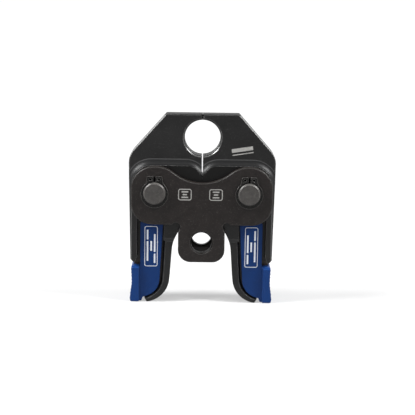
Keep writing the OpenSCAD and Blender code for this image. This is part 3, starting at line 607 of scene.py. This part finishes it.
def headBars():
    bm = bmesh.new()
    h = headMark
    slant = math.radians(h["turn"])
    for offset, width, height in h["bars"]:
        x = h["middleX"] - math.sin(slant) * offset
        z = h["middleZ"] + math.cos(slant) * offset
        addBar(bm, frontFace["head"], x, z, width, height, h["radius"], h["turn"])
    placeMark("right_head_mark", bm, laserMark, "right_jaw")


addSeamShadeSheet()
gripPrint("left", -1)
gripPrint("right", 1)
for place, x in zip(("left", "right"), plateSigns["middles"]):
    plateSign(f"{place}_plate_sign", x)
headBars()
print("marks placed")


# Paper sweep under and behind the object; the camera and mirrored rays see it glow up to white with distance

paper = dict(height=-43.7 * mm, width=4.0, front=-2.0, sweepStart=0.8, sweepRadius=0.6, sweepSteps=12,
             wallHeight=2.2, colour=(0.26, 0.26, 0.26), lighter=1.02, toneScale=40.0, rough=0.9, specular=0.1)
glow = dict(base=0.42, near=0.06, far=0.50, nearFrom=-0.36, nearFull=-0.24, farFrom=0.1, farFull=0.9,
            sideStart=0.4, frontStart=0.3, mirrorStart=1.3)


def paperGlow(tree, coords):
    g = glow
    rays = tree.nodes.new("ShaderNodeLightPath").outputs
    seen = mathNode(tree, "MAXIMUM", rays["Is Camera Ray"],
                    mathNode(tree, "MAXIMUM", rays["Is Glossy Ray"], rays["Is Transmission Ray"]))
    place = axesOf(tree, coords)
    near = rangeNode(tree, place["Y"], g["nearFrom"], g["nearFull"], 0.0, g["near"])
    beside = mathNode(tree, "SUBTRACT", mathNode(tree, "ABSOLUTE", place["X"]), g["sideStart"])
    start = rangeNode(tree, rays["Is Camera Ray"], 0.0, 1.0, g["mirrorStart"], g["frontStart"])
    before = mathNode(tree, "SUBTRACT", mathNode(tree, "MULTIPLY", place["Y"], -1.0), start)
    reach = mathNode(tree, "MAXIMUM", place["Y"], mathNode(tree, "MAXIMUM", beside, before))
    far = rangeNode(tree, reach, g["farFrom"], g["farFull"], 0.0, g["far"])
    strength = mathNode(tree, "ADD", mathNode(tree, "ADD", near, far), g["base"])
    return mathNode(tree, "MULTIPLY", seen, strength)


def paperMaterial():
    material = bpy.data.materials.new("studio paper")
    material.use_nodes = True
    tree = material.node_tree
    shader = tree.nodes["Principled BSDF"]
    coords = tree.nodes.new("ShaderNodeTexCoord").outputs["Object"]
    tone = noiseNode(tree, coords, paper["toneScale"])
    lighter = tuple(c * paper["lighter"] for c in paper["colour"])
    tree.links.new(mixColour(tree, tone, paper["colour"], lighter), shader.inputs["Base Color"])
    shader.inputs["Roughness"].default_value = paper["rough"]
    shader.inputs["Specular IOR Level"].default_value = paper["specular"]
    tree.links.new(paperGlow(tree, coords), shader.inputs["Emission Strength"])
    shader.inputs["Emission Color"].default_value = (1, 1, 1, 1)
    return material


def paperSweep():
    bm = bmesh.new()
    p = paper
    profile = [(p["front"], 0.0), (p["sweepStart"], 0.0)]
    for k in range(1, p["sweepSteps"] + 1):
        a = math.pi / 2 * k / p["sweepSteps"]
        profile.append((p["sweepStart"] + p["sweepRadius"] * math.sin(a),
                        p["sweepRadius"] * (1 - math.cos(a))))
    profile.append((p["sweepStart"] + p["sweepRadius"], p["wallHeight"]))
    half = p["width"] / 2
    rows = [[bm.verts.new((x, y, z + p["height"])) for x in (-half, half)] for y, z in profile]
    for low, high in zip(rows, rows[1:]):
        bm.faces.new((low[0], low[1], high[1], high[0]))
    meshPiece("paper_sweep", bm, paperMaterial(), smooth=True)


# Lamps: place, size and power of each soft box, all aimed at the middle of the object

lamps = dict(left_box=((-0.76, -0.20, 0.74), (0.42, 0.42), 5.2),
             right_box=((0.76, -0.20, 0.72), (0.42, 0.42), 4.2),
             top_box=((0.0, -0.12, 1.05), (0.6, 0.35), 0.22),
             front_box=((-0.35, -1.30, 0.55), (0.7, 0.5), 0.6))
lampAim = (0, 0, 0.03)
lampSpread = 80.0


def turnTowards(place, target):
    return (Vector(target) - Vector(place)).to_track_quat("-Z", "Y")


def softBox(name, place, size, power):
    data = bpy.data.lights.new(name, "AREA")
    data.shape = "RECTANGLE"
    data.size, data.size_y = size
    data.energy = power
    data.spread = math.radians(lampSpread)
    obj = linked(bpy.data.objects.new(name, data))
    obj.location = place
    obj.rotation_euler = turnTowards(place, lampAim).to_euler()


# Soft fill on the object; the camera, and reflections near the horizon, see the white room instead

room = dict(fill=(0.9, 0.92, 0.95, 1.0), fillStrength=0.23, white=(1.0, 1.0, 1.0, 1.0), whiteStrength=1.0,
            whiteBelow=0.1, fillAbove=0.4)


def setWorld():
    world = bpy.data.worlds.new("studio")
    world.use_nodes = True
    tree = world.node_tree
    fill = tree.nodes["Background"]
    fill.inputs["Color"].default_value = room["fill"]
    fill.inputs["Strength"].default_value = room["fillStrength"]
    white = tree.nodes.new("ShaderNodeBackground")
    white.inputs["Color"].default_value = room["white"]
    white.inputs["Strength"].default_value = room["whiteStrength"]
    rays = tree.nodes.new("ShaderNodeLightPath").outputs
    heading = axesOf(tree, tree.nodes.new("ShaderNodeTexCoord").outputs["Generated"])
    low = rangeNode(tree, heading["Z"], room["whiteBelow"], room["fillAbove"], 1.0, 0.0)
    mirrored = mathNode(tree, "MAXIMUM", rays["Is Glossy Ray"], rays["Is Transmission Ray"])
    seen = mathNode(tree, "MAXIMUM", rays["Is Camera Ray"], mathNode(tree, "MULTIPLY", mirrored, low))
    blend = tree.nodes.new("ShaderNodeMixShader")
    tree.links.new(seen, blend.inputs["Fac"])
    tree.links.new(fill.outputs["Background"], blend.inputs[1])
    tree.links.new(white.outputs["Background"], blend.inputs[2])
    tree.links.new(blend.outputs["Shader"], tree.nodes["World Output"].inputs["Surface"])
    bpy.context.scene.world = world


cameraView = dict(place=(0.0, -0.850, 0.1628), target=(0.004, 0.0, 0.0218), lens=107.4, rollDegrees=0.84,
                  sensorWidth=36.0, nearest=0.05, farthest=20.0)


def setCamera():
    v = cameraView
    data = bpy.data.cameras.new("camera")
    data.lens = v["lens"]
    data.sensor_width = v["sensorWidth"]
    data.clip_start = v["nearest"]
    data.clip_end = v["farthest"]
    obj = linked(bpy.data.objects.new("camera", data))
    turn = turnTowards(v["place"], v["target"]).to_matrix().to_4x4()
    roll = Matrix.Rotation(math.radians(v["rollDegrees"]), 4, "Z")
    obj.matrix_world = Matrix.Translation(v["place"]) @ turn @ roll
    bpy.context.scene.camera = obj


paperSweep()
for lampName, (place, size, power) in lamps.items():
    softBox(lampName, place, size, power)
setWorld()
setCamera()
bpy.context.scene.view_settings.view_transform = "Standard"
print("stage, light and camera set")
